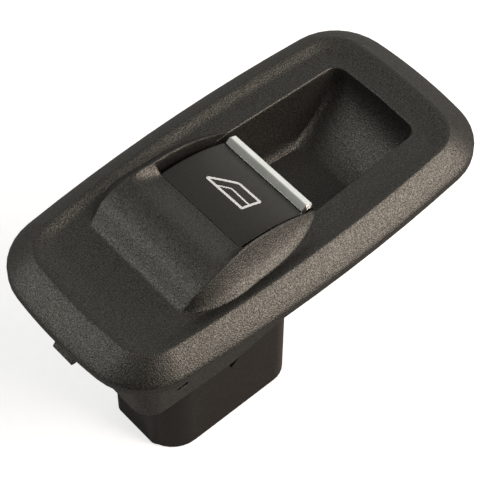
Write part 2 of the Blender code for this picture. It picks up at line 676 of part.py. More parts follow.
def rocker_profile(inset):
    """Side view of the rocker, from its front edge over the arch to the rebate for the bar."""
    points = []
    steps = 12
    for k in range(steps + 1):
        x = ROCKER_FRONT + inset + (BAR_FRONT - ROCKER_FRONT - inset) * k / steps
        points.append((x, rocker_height(x) - inset))
    return points


def build_rocker(material, parent):
    seat = rocker_height(BAR_FRONT) - BAR_THICKNESS * 0.55
    lip = BAR_REAR - 0.0007
    under = [(BAR_FRONT, seat), (lip, seat), (lip + 0.0002, seat - 0.0006), (lip - 0.0005, seat - 0.0012),
             (BAR_FRONT + 0.0004, seat - 0.0022), (CUP_FRONT - 0.0004, ROCKER_SKIRT_BOTTOM + 0.0008),
             (CUP_FRONT - 0.0008, ROCKER_SKIRT_BOTTOM),
             (ROCKER_FRONT + ROCKER_FRONT_SLANT, ROCKER_SKIRT_BOTTOM)]
    outer = rocker_profile(0.0) + under
    middle_x = sum(x for x, z in outer) / len(outer)
    middle_z = sum(z for x, z in outer) / len(outer)
    span = max(x for x, z in outer) - min(x for x, z in outer)
    rings = []
    side = ROCKER_HALF_WIDTH
    for y, shrink in ((-side, EDGE_ROUND), (-side + EDGE_ROUND * 0.3, EDGE_ROUND * 0.3),
                      (-side + EDGE_ROUND, 0.0), (side - EDGE_ROUND, 0.0),
                      (side - EDGE_ROUND * 0.3, EDGE_ROUND * 0.3), (side, EDGE_ROUND)):
        k = 1.0 - 2 * shrink / span
        rings.append([(middle_x + (x - middle_x) * k, y, middle_z + (z - middle_z) * k - shrink * 0.5)
                      for x, z in outer])
    rocker = loft("rocker", rings)

    wall = ROCKER_WALL
    inner = [(x, z) for x, z in rocker_profile(wall) if x < CUP_FRONT - wall]
    inner += [(CUP_FRONT - 0.0008 - wall, rocker_height(CUP_FRONT - wall) - wall - 0.0004),
              (CUP_FRONT - 0.0008 - wall, ROCKER_SKIRT_BOTTOM - 0.001),
              (ROCKER_FRONT + ROCKER_FRONT_SLANT + wall, ROCKER_SKIRT_BOTTOM - 0.001)]
    cut(rocker, extruded("rocker_hollow", inner, -ROCKER_HALF_WIDTH + wall, ROCKER_HALF_WIDTH - wall))

    pad = PLUNGER_TOP + SEAT
    web = 0.0008
    front = PIVOT_X - PLUNGER_REACH
    rear = PIVOT_X + PLUNGER_REACH
    for side in (-1, 1):
        y = side * PLUNGER_HALF_PITCH
        roof = rocker_height(rear + PLUNGER_RADIUS) - wall * 0.5
        rib = [(front - PLUNGER_RADIUS, pad), (front + PLUNGER_RADIUS, pad),
               (front + PLUNGER_RADIUS, pad + 0.0012), (rear - PLUNGER_RADIUS, pad + 0.0012),
               (rear - PLUNGER_RADIUS, pad), (rear + PLUNGER_RADIUS, pad),
               (rear + PLUNGER_RADIUS, roof), (ROCKER_FRONT + wall * 0.5, roof),
               (ROCKER_FRONT + wall * 0.5, pad + 0.0024), (front - PLUNGER_RADIUS, pad + 0.0020)]
        join(rocker, extruded("web", rib, y - web, y + web))
        for x in (front, rear):
            join(rocker, box("pad", (x - PLUNGER_RADIUS * 1.1, y - PLUNGER_RADIUS, pad - 0.00002),
                             (x + PLUNGER_RADIUS * 1.1, y + PLUNGER_RADIUS, pad + 0.0011)))
    bore = PIN_RADIUS + PIN_CLEARANCE
    blind = ROCKER_HALF_WIDTH - wall * 0.35
    cut(rocker, cross_rod("bore", PIVOT_X, PIVOT_Z, bore, -blind, blind))
    for y in (-BAR_PEG_HALF_PITCH, BAR_PEG_HALF_PITCH):
        cut(rocker, rod("peg_hole", (BAR_MIDDLE, y), BAR_PEG_RADIUS + SEAT * 0.5,
                        seat - BAR_PEG_LENGTH - SEAT, seat + SEAT, 12))
    return finish(rocker, "rocker", material, parent)


def build_chrome_bar(material, parent):
    """Plated bar with a ridge along it, a steep rear face and chamfered ends."""
    level = rocker_height(BAR_FRONT)
    seat = level - BAR_THICKNESS * 0.55 + SEAT
    ridge = BAR_FRONT + BAR_DEPTH * 0.46
    front = BAR_FRONT + SEAT * 0.2
    profile = [(front, level - BAR_LIP), (front + BAR_LIP * 0.5, level + BAR_LIP),
               (ridge - BAR_LIP, level + BAR_RISE), (ridge + BAR_LIP, level + BAR_RISE),
               (BAR_REAR - BAR_LIP, level + BAR_REAR_RISE), (BAR_REAR, level + BAR_REAR_RISE - BAR_LIP * 2),
               (BAR_REAR, seat + BAR_LIP), (BAR_REAR - BAR_LIP, seat), (front, seat)]
    chamfer = BAR_END_CHAMFER
    rings = []
    for y, drop in ((-ROCKER_HALF_WIDTH, chamfer), (-ROCKER_HALF_WIDTH + chamfer, 0.0),
                    (ROCKER_HALF_WIDTH - chamfer, 0.0), (ROCKER_HALF_WIDTH, chamfer)):
        rings.append([(x + drop * (0.5 if x < ridge else -0.5), y, max(z - drop * 1.2, min(z, seat)))
                      for x, z in profile])
    bar = loft("bar", rings)
    for y in (-BAR_PEG_HALF_PITCH, BAR_PEG_HALF_PITCH):
        join(bar, rod("peg", (BAR_MIDDLE, y), BAR_PEG_RADIUS, seat - BAR_PEG_LENGTH, seat + SEAT, 12))
    return finish(bar, "chrome_bar", material, parent, 20.0)


def build_pivot_pin(material):
    half = ROCKER_HALF_WIDTH - ROCKER_WALL * 0.35 - SEAT
    return finish(cross_rod("pin", PIVOT_X, PIVOT_Z, PIN_RADIUS, -half, half), "pivot_pin", material)


def switch_places():
    places = {}
    for end, x in (("front", PIVOT_X - PLUNGER_REACH), ("rear", PIVOT_X + PLUNGER_REACH)):
        for side, y in (("right", -PLUNGER_HALF_PITCH), ("left", PLUNGER_HALF_PITCH)):
            places[f"{end}_{side}"] = (x, y)
    return places


def build_plunger(name, place, material):
    foot = BOARD_TOP + DOME_HEIGHT + SEAT * 2
    tip = PLUNGER_RADIUS * 0.7
    profile = [(PLUNGER_FOOT_RADIUS * 0.8, foot), (PLUNGER_FOOT_RADIUS, foot + 0.0002),
               (PLUNGER_FOOT_RADIUS, foot + PLUNGER_FOOT_HEIGHT),
               (PLUNGER_RADIUS, foot + PLUNGER_FOOT_HEIGHT),
               (PLUNGER_RADIUS, PLUNGER_TOP - 0.0006), (tip, PLUNGER_TOP - 0.0001), (tip * 0.5, PLUNGER_TOP)]
    parent = axis_empty(f"{name}_axis", place[0], place[1], 0.0)
    return finish(turned(name, place, profile, 16), name, material, parent)


def build_carrier(material):
    """Frame under the rocker: deck with plunger guides, pivot ears and a rim that closes the housing."""
    inset = HOUSING_WALL + SEAT
    front = HOUSING_FRONT
    rear = CARRIER_REAR
    corner = HOUSING_FRONT_CORNER
    rear_corner = CARRIER_REAR_CORNER
    flange_top = HOUSING_TOP + SEAT + 0.0015
    deck_bottom = DECK_TOP - DECK_THICKNESS
    deck_front = PIVOT_X - PLUNGER_REACH - 0.0050
    carrier = loft("carrier", [rounded_plan(front, rear, HOUSING_HALF_WIDTH, corner, rear_corner, z)
                               for z in (HOUSING_TOP + SEAT, flange_top)])
    plug = loft("plug", [rounded_plan(front + inset, rear - inset, HOUSING_HALF_WIDTH - inset,
                                      corner - inset, HOUSING_REAR_CORNER - inset, z)
                         for z in (BOARD_TOP + SEAT, HOUSING_TOP + 0.0008)])
    turret = loft("turret", [rounded_plan(deck_front, rear, HOUSING_HALF_WIDTH - SEAT - 0.0004, 0.003,
                                          rear_corner, z) for z in (HOUSING_TOP + 0.0006, DECK_TOP)])
    join(carrier, plug, turret)
    wall = CARRIER_WALL
    half = HOUSING_HALF_WIDTH - inset - wall
    cut(carrier, loft("turret_hollow", [rounded_plan(deck_front + wall, rear - wall, half, 0.002,
                                                     rear_corner * 0.5, z)
                                        for z in (BOARD_TOP - 0.001, deck_bottom)]))
    cut(carrier, loft("front_hollow", [rounded_plan(front + inset + wall, deck_front, half,
                                                    corner - inset - wall, 0.001, z)
                                       for z in (BOARD_TOP - 0.001, flange_top - wall)]))
    ear_reach = ROCKER_HALF_WIDTH - ROCKER_WALL - EAR_SIDE_GAP
    for side in (-1, 1):
        y0, y1 = sorted((side * ear_reach, side * (ear_reach - EAR_WIDTH)))
        arc = [(PIVOT_X + EAR_RADIUS * math.cos(math.pi * k / 10),
                PIVOT_Z + EAR_RADIUS * math.sin(math.pi * k / 10)) for k in range(11)]
        foot = DECK_TOP - DECK_THICKNESS * 0.5
        ear = arc + [(PIVOT_X - EAR_RADIUS, foot), (PIVOT_X + EAR_RADIUS, foot)]
        join(carrier, extruded("ear", ear, y0, y1))
    cut(carrier, cross_rod("ear_bore", PIVOT_X, PIVOT_Z, PIN_RADIUS + PIN_CLEARANCE, -HALF_WIDTH, HALF_WIDTH))
    guide_bottom = BOARD_TOP + DOME_HEIGHT + PLUNGER_FOOT_HEIGHT + 0.0030
    for place in switch_places().values():
        join(carrier, rod("guide", place, PLUNGER_RADIUS + GUIDE_WALL, guide_bottom, DECK_TOP + 0.0008))
    for place in switch_places().values():
        cut(carrier, rod("guide_bore", place, PLUNGER_RADIUS + PIN_CLEARANCE * 1.5, guide_bottom - 0.001,
                         DECK_TOP + 0.002))
    cut(carrier, rod("light_hole", (light_x(), 0.0), LIGHT_PIPE_RADIUS + PIN_CLEARANCE, deck_bottom - 0.002,
                     DECK_TOP + 0.001))
    return finish(carrier, "carrier", material)


def light_x():
    return PIVOT_X + PLUNGER_REACH - 0.0004


def build_light_guide(material):
    """Clear pipe with a collar that rests on the deck, from the lamp up to the rocker's underside."""
    bottom = BOARD_TOP + LED_HEIGHT + SEAT
    top = rocker_height(light_x()) - ROCKER_WALL - 0.0018
    wide = LIGHT_PIPE_RADIUS + LIGHT_PIPE_COLLAR
    seat = DECK_TOP + SEAT
    profile = [(LIGHT_PIPE_RADIUS, bottom), (LIGHT_PIPE_RADIUS, seat), (wide, seat),
               (wide, seat + LIGHT_PIPE_COLLAR), (LIGHT_PIPE_RADIUS, seat + LIGHT_PIPE_COLLAR),
               (LIGHT_PIPE_RADIUS * 1.1, top - 0.0004), (LIGHT_PIPE_RADIUS * 0.9, top)]
    return finish(turned("light_guide", (light_x(), 0.0), profile, 16), "light_guide", material)


def housing_plan(inset, height):
    """Plan of the module housing, which narrows a little downwards."""
    draft = HOUSING_DRAFT * (HOUSING_TOP - height) / (HOUSING_TOP - HOUSING_BOTTOM)
    shrink = inset + draft
    return rounded_plan(HOUSING_FRONT + shrink, HOUSING_REAR - shrink, HOUSING_HALF_WIDTH - shrink,
                        HOUSING_FRONT_CORNER - inset, HOUSING_REAR_CORNER - inset, height)


def socket_box(name, grow, z0, z1):
    x0 = SOCKET_CENTRE - SOCKET_LENGTH / 2 - grow
    x1 = SOCKET_CENTRE + SOCKET_LENGTH / 2 + grow
    half = SOCKET_WIDTH / 2 + grow
    corner = SOCKET_CORNER + grow
    return loft(name, [rounded_plan(x0, x1, half, corner, corner, z) for z in (z0, z1)])


def socket_roof():
    return HOUSING_BOTTOM + SOCKET_DEPTH


def build_housing(material):
    """Deep moulded housing with an open top, a floor, and the connector socket let into the floor."""
    edge = 0.0005
    outer = [housing_plan(edge, HOUSING_BOTTOM), housing_plan(edge * 0.3, HOUSING_BOTTOM + edge * 0.3),
             housing_plan(0.0, HOUSING_BOTTOM + edge), housing_plan(0.0, HOUSING_TOP)]
    housing = loft("housing", outer)
    cut(housing, loft("cavity", [housing_plan(HOUSING_WALL, z) for z in (HOUSING_BOTTOM + HOUSING_WALL,
                                                                        HOUSING_TOP + 0.001)]))
    join(housing, socket_box("socket_wall", SOCKET_WALL, HOUSING_BOTTOM + HOUSING_WALL * 0.5,
                             socket_roof() + SOCKET_WALL))
    cut(housing, socket_box("socket", 0.0, HOUSING_BOTTOM - 0.001, socket_roof()))
    key = box("key", (SOCKET_CENTRE - 0.0008, SOCKET_WIDTH / 2 - 0.0012, HOUSING_BOTTOM + 0.0015),
              (SOCKET_CENTRE + 0.0008, SOCKET_WIDTH / 2 + 0.0005, socket_roof() - 0.0005))
    join(housing, key)
    for x, y in terminal_places():
        cut(housing, box("slot", (x - TERMINAL_WIDTH / 2 - SEAT, y - TERMINAL_THICKNESS / 2 - SEAT,
                                  socket_roof() - 0.001),
                         (x + TERMINAL_WIDTH / 2 + SEAT, y + TERMINAL_THICKNESS / 2 + SEAT,
                          socket_roof() + SOCKET_WALL + 0.001)))
    ledge_top = BOARD_BOTTOM - SEAT
    for x in (HOUSING_FRONT + HOUSING_FRONT_CORNER, HOUSING_REAR - HOUSING_REAR_CORNER - 0.002):
        for side in (-1, 1):
            y0, y1 = sorted((side * (HOUSING_HALF_WIDTH - HOUSING_WALL * 0.5),
                             side * (HOUSING_HALF_WIDTH - HOUSING_WALL - 0.0016)))
            join(housing, box("ledge", (x, y0, ledge_top - 0.010), (x + 0.0015, y1, ledge_top)))
    cut(housing, latch_window())
    return finish(housing, "module_housing", material)


def terminal_places():
    places = []
    for column in range(TERMINAL_COLUMNS):
        x = SOCKET_CENTRE + (column - (TERMINAL_COLUMNS - 1) / 2) * TERMINAL_PITCH
        for y in (-TERMINAL_ROW_GAP / 2, TERMINAL_ROW_GAP / 2):
            places.append((x, y))
    return places


def build_terminal(number, place, material):
    """Flat blade, narrow where it is soldered to the board and tapered at its lower tip."""
    x, y = place
    top = BOARD_TOP + TERMINAL_TAIL
    neck = BOARD_BOTTOM - 0.001
    tip = socket_roof() - TERMINAL_REACH
    rings = []
    for z, width, thick in ((tip, 0.35, 0.4), (tip + 0.0012, 1.0, 1.0), (neck - 0.0005, 1.0, 1.0),
                            (neck, 0.5, 0.9), (top, 0.5, 0.9)):
        w = TERMINAL_WIDTH / 2 * width
        t = TERMINAL_THICKNESS / 2 * thick
        rings.append([(x - w, y - t, z), (x + w, y - t, z), (x + w, y + t, z), (x - w, y + t, z)])
    return finish(loft("terminal", rings), f"terminal_{number}", material, None, 20.0)


def build_terminal_block(material):
    base = socket_roof() + SOCKET_WALL + SEAT
    half_x = TERMINAL_PITCH * TERMINAL_COLUMNS / 2 + BLOCK_MARGIN_X
    half_y = TERMINAL_ROW_GAP / 2 + BLOCK_MARGIN_Y
    block = loft("block", [rounded_plan(SOCKET_CENTRE - half_x, SOCKET_CENTRE + half_x, half_y,
                                        BLOCK_MARGIN_X, BLOCK_MARGIN_X, z)
                           for z in (base, base + BLOCK_HEIGHT)])
    wide = TERMINAL_WIDTH / 2 + SEAT
    thick = TERMINAL_THICKNESS / 2 + SEAT
    for x, y in terminal_places():
        cut(block, box("slot", (x - wide, y - thick, base - 0.001),
                       (x + wide, y + thick, base + BLOCK_HEIGHT + 0.001)))
    return finish(block, "terminal_block", material)


def build_board(material):
    inset = HOUSING_WALL + SEAT
    board = loft("board", [rounded_plan(HOUSING_FRONT + inset, HOUSING_REAR - inset,
                                        HOUSING_HALF_WIDTH - inset, HOUSING_FRONT_CORNER - inset,
                                        HOUSING_REAR_CORNER - inset, z)
                           for z in (BOARD_BOTTOM, BOARD_TOP)])
    for x, y in terminal_places():
        cut(board, rod("solder_hole", (x, y), TERMINAL_WIDTH * 0.32 + SEAT, BOARD_BOTTOM - 0.001,
                       BOARD_TOP + 0.001, 12))
    return finish(board, "circuit_board", material)


def build_dome(name, place, material):
    """Hollow silicone dome with a flange that sits on the board."""
    base = BOARD_TOP + SEAT
    top = base + DOME_HEIGHT
    wall = DOME_WALL
    dome = turned("dome", place, [(DOME_RADIUS, base), (DOME_RADIUS, base + DOME_FLANGE),
                                  (DOME_RADIUS * 0.86, base + DOME_FLANGE + 0.0001),
                                  (DOME_RADIUS * 0.78, base + DOME_HEIGHT * 0.55),
                                  (DOME_RADIUS * 0.58, base + DOME_HEIGHT * 0.80),
                                  (DOME_RADIUS * 0.54, top)], 16)
    cut(dome, turned("dome_hollow", place, [(DOME_RADIUS * 0.86 - wall, base - 0.001),
                                            (DOME_RADIUS * 0.80 - wall, base + DOME_HEIGHT * 0.50),
                                            (DOME_RADIUS * 0.50 - wall, base + DOME_HEIGHT * 0.72)], 16))
    return finish(dome, name, material)


def build_lamp(material):
    base = BOARD_TOP + SEAT * 0.2
    half = LED_SIZE / 2
    rings = []
    for z, scale in ((base, 1.0), (base + LED_HEIGHT * 0.6, 1.0), (base + LED_HEIGHT * 0.75, 0.85)):
        w = half * scale
        rings.append([(light_x() - w, -w, z), (light_x() + w, -w, z),
                      (light_x() + w, w, z), (light_x() - w, w, z)])
    return finish(loft("lamp", rings), "led", material, None, 20.0)


def build_control_chip(material):
    top = BOARD_BOTTOM - SEAT * 0.2
    half = CHIP_SIZE / 2
    x = PIVOT_X
    rings = []
    for z, scale in ((top - CHIP_HEIGHT, 0.92), (top - CHIP_HEIGHT * 0.5, 1.0), (top, 0.92)):
        w = half * scale
        rings.append([(x - w, -w, z), (x + w, -w, z), (x + w, w, z), (x - w, w, z)])
    return finish(loft("chip", rings), "control_chip", material, None, 20.0)


def build_resistor(name, x, y, material):
    top = BOARD_BOTTOM - SEAT * 0.2
    half_x = RESISTOR_LENGTH / 2
    half_y = RESISTOR_WIDTH / 2
    body = box(name, (x - half_x, y - half_y, top - RESISTOR_HEIGHT), (x + half_x, y + half_y, top))
    return finish(body, name, material, None, 20.0)


def build_clip(material):
    """Spring steel clip folded over the tongue, with a barbed leg on each side."""
    gap = SEAT
    inner_front = TONGUE_X - gap
    inner_rear = TONGUE_X + TONGUE_THICKNESS + gap
    t = CLIP_THICKNESS
    low = TONGUE_BOTTOM - gap
    up = low + CLIP_HEIGHT
    bulge = CLIP_BULGE
    profile = [(inner_front, up), (inner_front, low), (inner_rear, low), (inner_rear, up),
               (inner_rear + t, up), (inner_rear + t + bulge * 0.3, low + CLIP_HEIGHT * 0.85),
               (inner_rear + t + bulge, low + CLIP_HEIGHT * 0.55), (inner_rear + t, low + 0.0004),
               (inner_rear + t * 0.4, low - t), (inner_front - t * 0.4, low - t),
               (inner_front - t, low + 0.0004),
               (inner_front - t - bulge, low + CLIP_HEIGHT * 0.55),
               (inner_front - t - bulge * 0.3, low + CLIP_HEIGHT * 0.85), (inner_front - t, up)]
    clip = extruded("clip", profile, -CLIP_HALF_WIDTH, CLIP_HALF_WIDTH)
    return finish(clip, "retaining_clip", material, None, 25.0)


def main():
    clear_scene()
    grained = make_material("grained_plastic", (0.045, 0.045, 0.042), 0.55)
    satin = make_material("satin_plastic", (0.034, 0.034, 0.031), 0.38)
    chrome = make_material("chrome_plate", (0.80, 0.80, 0.79), 0.08, 1.0)
    housing_plastic = make_material("housing_plastic", (0.050, 0.043, 0.038), 0.45)
    frame_plastic = make_material("frame_plastic", (0.030, 0.030, 0.030), 0.50)
    white_plastic = make_material("white_plastic", (0.70, 0.70, 0.68), 0.45)
    steel = make_material("steel", (0.55, 0.55, 0.54), 0.30, 1.0)
    tinned_brass = make_material("tinned_brass", (0.70, 0.66, 0.55), 0.30, 1.0)
    silicone = make_material("silicone", (0.25, 0.26, 0.27), 0.70)
    board_green = make_material("board_green", (0.020, 0.110, 0.050), 0.45)
    chip_black = make_material("chip_black", (0.015, 0.015, 0.015), 0.50)
    clear = make_material("clear_acrylic", (0.85, 0.87, 0.88), 0.05)

    build_bezel(grained)
    pivot = axis_empty("rocker_pivot", PIVOT_X, 0.0, PIVOT_Z)
    build_rocker(satin, pivot)
    build_chrome_bar(chrome, pivot)
    build_pivot_pin(steel)
    build_carrier(frame_plastic)
    for spot, place in switch_places().items():
        build_plunger(f"plunger_{spot}", place, white_plastic)
        build_dome(f"dome_{spot}", place, silicone)
    build_board(board_green)
    build_lamp(white_plastic)
    build_light_guide(clear)
    build_control_chip(chip_black)
    for side, y in (("left", CHIP_SIZE), ("right", -CHIP_SIZE)):
        build_resistor(f"resistor_{side}", PIVOT_X - CHIP_SIZE * 1.2, y, chip_black)
    build_housing(housing_plastic)
    build_terminal_block(frame_plastic)
    for number, place in enumerate(terminal_places(), 1):
        build_terminal(number, place, tinned_brass)
    build_clip(steel)


main()
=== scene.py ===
"""Looks of a power window switch: surface finishes, the window pictogram, floor, light and camera."""

import json
import math

import bmesh
import bpy
from mathutils import Matrix, Vector

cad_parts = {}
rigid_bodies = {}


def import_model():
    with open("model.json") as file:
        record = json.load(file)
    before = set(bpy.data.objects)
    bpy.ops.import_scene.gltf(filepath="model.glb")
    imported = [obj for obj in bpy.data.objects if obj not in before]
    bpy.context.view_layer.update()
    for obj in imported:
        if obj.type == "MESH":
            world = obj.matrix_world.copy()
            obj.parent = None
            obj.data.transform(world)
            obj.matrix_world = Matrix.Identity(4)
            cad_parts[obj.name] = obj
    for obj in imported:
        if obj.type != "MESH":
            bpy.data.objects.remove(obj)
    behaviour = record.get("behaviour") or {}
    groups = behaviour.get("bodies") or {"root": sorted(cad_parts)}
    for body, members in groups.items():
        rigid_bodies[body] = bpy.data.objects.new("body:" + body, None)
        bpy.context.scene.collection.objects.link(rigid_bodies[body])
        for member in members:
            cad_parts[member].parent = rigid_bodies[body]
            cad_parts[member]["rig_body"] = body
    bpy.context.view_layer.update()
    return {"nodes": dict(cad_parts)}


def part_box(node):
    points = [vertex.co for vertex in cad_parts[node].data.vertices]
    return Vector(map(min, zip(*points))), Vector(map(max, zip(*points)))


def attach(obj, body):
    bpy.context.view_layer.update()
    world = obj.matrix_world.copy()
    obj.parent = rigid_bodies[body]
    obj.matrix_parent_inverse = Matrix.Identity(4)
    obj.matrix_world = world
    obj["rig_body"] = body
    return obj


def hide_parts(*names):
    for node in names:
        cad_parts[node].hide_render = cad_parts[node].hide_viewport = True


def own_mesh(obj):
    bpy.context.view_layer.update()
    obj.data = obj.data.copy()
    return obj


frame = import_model()
nodes = frame["nodes"]
scene = bpy.context.scene

# The two ends and two sides at which the plungers and their contact domes stand
ENDS_AND_SIDES = [f"{end}_{side}" for end in ("front", "rear") for side in ("left", "right")]

# Corners closer than this are one corner, and edges flatter than this shade smoothly
WELD_DISTANCE = 0.000002
SMOOTH_ANGLE = math.radians(35.0)

# Rocker's top face, an arch on which the pictogram is printed
ROCKER_FRONT = -0.0139
ROCKER_TOP = 0.0720
ROCKER_ARCH_RADIUS = 0.0430

# Pictogram: corners of its lines in plan, with their rounding, and the lines' widths
PANE_CORNERS = [(-0.00626, 0.00665), (-0.00122, 0.00085), (-0.00110, -0.00630), (-0.00603, -0.00555)]
PANE_ROUNDING = [0.00022, 0.00160, 0.00010, 0.00010]
PANE_LINE = 0.00064
INNER_CORNERS = [(-0.00615, 0.00330), (-0.00384, 0.00047), (-0.00395, -0.00580)]
INNER_ROUNDING = [0.0, 0.00120, 0.0]
INNER_LINE = 0.00040
PRINT_LIFT = 0.00003
PRINT_STEP = 0.0004
PRINT_CORNER_STEPS = 8

# Floor: its grey where it is seen, the grey that it lights the switch with, and the lift to white
FLOOR_SEEN = (0.50, 0.54)
FLOOR_BOUNCE = 0.29
FLOOR_LIFT = 0.62
FLOOR_REACH = 3.0

# Surroundings: how their level changes across the floor's plane, from the near left to the far right
SKY_SLOPE = (0.33, 0.375, 0.0)
SKY_LEVELS = [(0.00, 0.10), (0.25, 0.12), (0.50, 0.27), (0.80, 0.49), (1.00, 0.58)]
SKY_TINT = (1.0, 1.0, 0.96)
WHITE = (1.0, 1.0, 1.0)

# Camera at the photograph's angle
EYE = Vector((-0.187259, -0.211032, 0.443527))
RIGHT = Vector((0.74988, -0.66157, -0.00124))
UP = Vector((0.53943, 0.61036, 0.58006))
BACK = Vector((-0.38300, -0.43565, 0.81457))
LENS = 151.64
SENSOR_WIDTH = 36.0
CLIP_START = 0.01

# Point that all lamps are aimed at
LAMP_TARGET = Vector((0.0, 0.0, 0.06))


def add_object(name, data):
    """A new object, put in the scene."""
    item = bpy.data.objects.new(name, data)
    scene.collection.objects.link(item)
    return item


def colour_ramp(tree, factor, stops):
    """Colours over a factor, from (position, colour) stops."""
    node = tree.nodes.new("ShaderNodeValToRGB")
    points = node.color_ramp.elements
    while len(points) < len(stops):
        points.new(0.5)
    for point, (position, colour) in zip(points, stops):
        point.position = position
        point.color = (*colour, 1.0)
    tree.links.new(factor, node.inputs["Fac"])
    return node.outputs["Color"]


def colour_mix(tree, factor, first, second):
    """A mix of two colours, where each value is a constant or a node's output."""
    node = tree.nodes.new("ShaderNodeMix")
    node.data_type = "RGBA"
    for identifier, value in (("Factor_Float", factor), ("A_Color", first), ("B_Color", second)):
        target = next(socket for socket in node.inputs if socket.identifier == identifier)
        if isinstance(value, tuple):
            target.default_value = (*value, 1.0)
        else:
            tree.links.new(value, target)
    return next(socket for socket in node.outputs if socket.identifier == "Result_Color")


class Finish:
    """A material's node tree, with short calls for the nodes that the finishes share."""

    def __init__(self, name):
        self.material = bpy.data.materials.new(name)
        self.material.use_nodes = True
        self.tree = self.material.node_tree
        self.tree.nodes.clear()
        output = self.tree.nodes.new("ShaderNodeOutputMaterial")
        self.shader = self.tree.nodes.new("ShaderNodeBsdfPrincipled")
        self.place = self.tree.nodes.new("ShaderNodeTexCoord")
        self.join(self.shader.outputs["BSDF"], output.inputs["Surface"])
        self.height = None
        self.edge = None

    def join(self, source, target):
        self.tree.links.new(source, target)

    def constants(self, **values):
        for key, value in values.items():
            self.shader.inputs[key.replace("_", " ")].default_value = value

    def coordinates(self, stretch):
        if stretch is None:
            return self.place.outputs["Object"]
        mapping = self.tree.nodes.new("ShaderNodeMapping")
        mapping.inputs["Scale"].default_value = stretch
        self.join(self.place.outputs["Object"], mapping.inputs["Vector"])
        return mapping.outputs["Vector"]

    def noise(self, size, detail=2.0, roughness=0.5, stretch=None, distortion=0.0):
        node = self.tree.nodes.new("ShaderNodeTexNoise")
        node.inputs["Scale"].default_value = 1.0 / size
        node.inputs["Detail"].default_value = detail
        node.inputs["Roughness"].default_value = roughness
        node.inputs["Distortion"].default_value = distortion
        self.join(self.coordinates(stretch), node.inputs["Vector"])
        return node.outputs["Fac"]

    def cells(self, size, metric="EUCLIDEAN"):
        node = self.tree.nodes.new("ShaderNodeTexVoronoi")
        node.distance = metric
        node.inputs["Scale"].default_value = 1.0 / size
        self.join(self.coordinates(None), node.inputs["Vector"])
        return node.outputs["Distance"]

    def ramp(self, factor, stops):
        return colour_ramp(self.tree, factor, stops)

    def spread(self, factor, low, high, start=0.0, end=1.0):
        node = self.tree.nodes.new("ShaderNodeMapRange")
        node.inputs["From Min"].default_value = start
        node.inputs["From Max"].default_value = end
        node.inputs["To Min"].default_value = low
        node.inputs["To Max"].default_value = high
        self.join(factor, node.inputs["Value"])
        return node.outputs["Result"]

    def mix(self, factor, first, second):
        return colour_mix(self.tree, factor, first, second)

    def round_edges(self, radius):
        """Lets the light run softly over sharp edges, within a radius."""
        bevel = self.tree.nodes.new("ShaderNodeBevel")
        bevel.samples = 6
        bevel.inputs["Radius"].default_value = radius
        self.edge = bevel.outputs["Normal"]

    def edge_rub_and_painted_highlight_mask(self, low, high):
        """A mask that is 1 along the rounded edges, from the change of normal there. It lightens their
        colour: slight wear, and where strong a painted highlight.
        """
        surface = self.tree.nodes.new("ShaderNodeNewGeometry")
        dot = self.tree.nodes.new("ShaderNodeVectorMath")
        dot.operation = "DOT_PRODUCT"
        self.join(self.edge, dot.inputs[0])
        self.join(surface.outputs["Normal"], dot.inputs[1])
        return self.spread(dot.outputs["Value"], 1.0, 0.0, low, high)

    def bump(self, factor, distance, strength=1.0):
        node = self.tree.nodes.new("ShaderNodeBump")
        node.inputs["Distance"].default_value = distance
        node.inputs["Strength"].default_value = strength
        self.join(factor, node.inputs["Height"])
        source = self.height or self.edge
        if source is not None:
            self.join(source, node.inputs["Normal"])
        self.height = node.outputs["Normal"]
        self.join(self.height, self.shader.inputs["Normal"])

    def colour(self, source):
        self.join(source, self.shader.inputs["Base Color"])

    def roughness(self, source):
        self.join(source, self.shader.inputs["Roughness"])


def seen_directly(tree):
    """A mask that is 1 to the camera and through clear pieces, to which the surroundings are white."""
    path = tree.nodes.new("ShaderNodeLightPath")
    either = tree.nodes.new("ShaderNodeMath")
    either.operation = "MAXIMUM"
    tree.links.new(path.outputs["Is Camera Ray"], either.inputs[0])
    tree.links.new(path.outputs["Is Transmission Ray"], either.inputs[1])
    return either.outputs["Value"]


def shade(level, tint=(1.0, 1.0, 1.0)):
    return tuple(level * t for t in tint)


def moulded(name, level, tint, grain, depth, rough, speckle=0.25, edge_rub_and_painted_highlight=1.3, edge_radius=0.00018, shine=0.5,
            gleam=(0.95, 1.0)):
    """Moulded plastic: fine grain that breaks up its sheen, slow mottling, and edges lightened in colour,
    which is slight wear and, at a high factor, a painted highlight.
    """
    finish = Finish(name)
    fine = finish.noise(grain, 2.0, 0.7)
    pebble = finish.cells(grain * 1.3)
    slow = finish.noise(0.009, 2.0, 0.5, distortion=0.4)
    base = finish.ramp(fine, [(0.34, shade(level * (1 - speckle), tint)), (0.52, shade(level, tint)),
                              (0.68, shade(level * (1 + speckle * 2.5), tint))])
    mottled = finish.mix(finish.spread(slow, 0.0, 0.5, 0.35, 0.7), base, shade(level * 1.25, tint))
    finish.round_edges(edge_radius)
    # Edges lightened in colour: slight wear at small factors, a painted highlight of light caught on the
    # edges at large ones.
    rub_and_highlight_mask = finish.edge_rub_and_painted_highlight_mask(0.70, 0.97)
    finish.colour(finish.mix(finish.spread(rub_and_highlight_mask, 0.0, 0.5), mottled, shade(level * edge_rub_and_painted_highlight, tint)))
    low, high = (shade(amount, (1.0, 0.98, 0.90)) for amount in gleam)
    finish.join(finish.ramp(fine, [(0.36, low), (0.64, high)]), finish.shader.inputs["Specular Tint"])
    finish.roughness(finish.spread(finish.noise(grain * 1.5, 3.0, 0.6), rough - 0.08, rough + 0.10, 0.3, 0.7))
    finish.bump(pebble, depth * 0.5, 0.7)
    finish.bump(fine, depth, 1.0)
    finish.constants(Specular_IOR_Level=shine)
    return finish.material


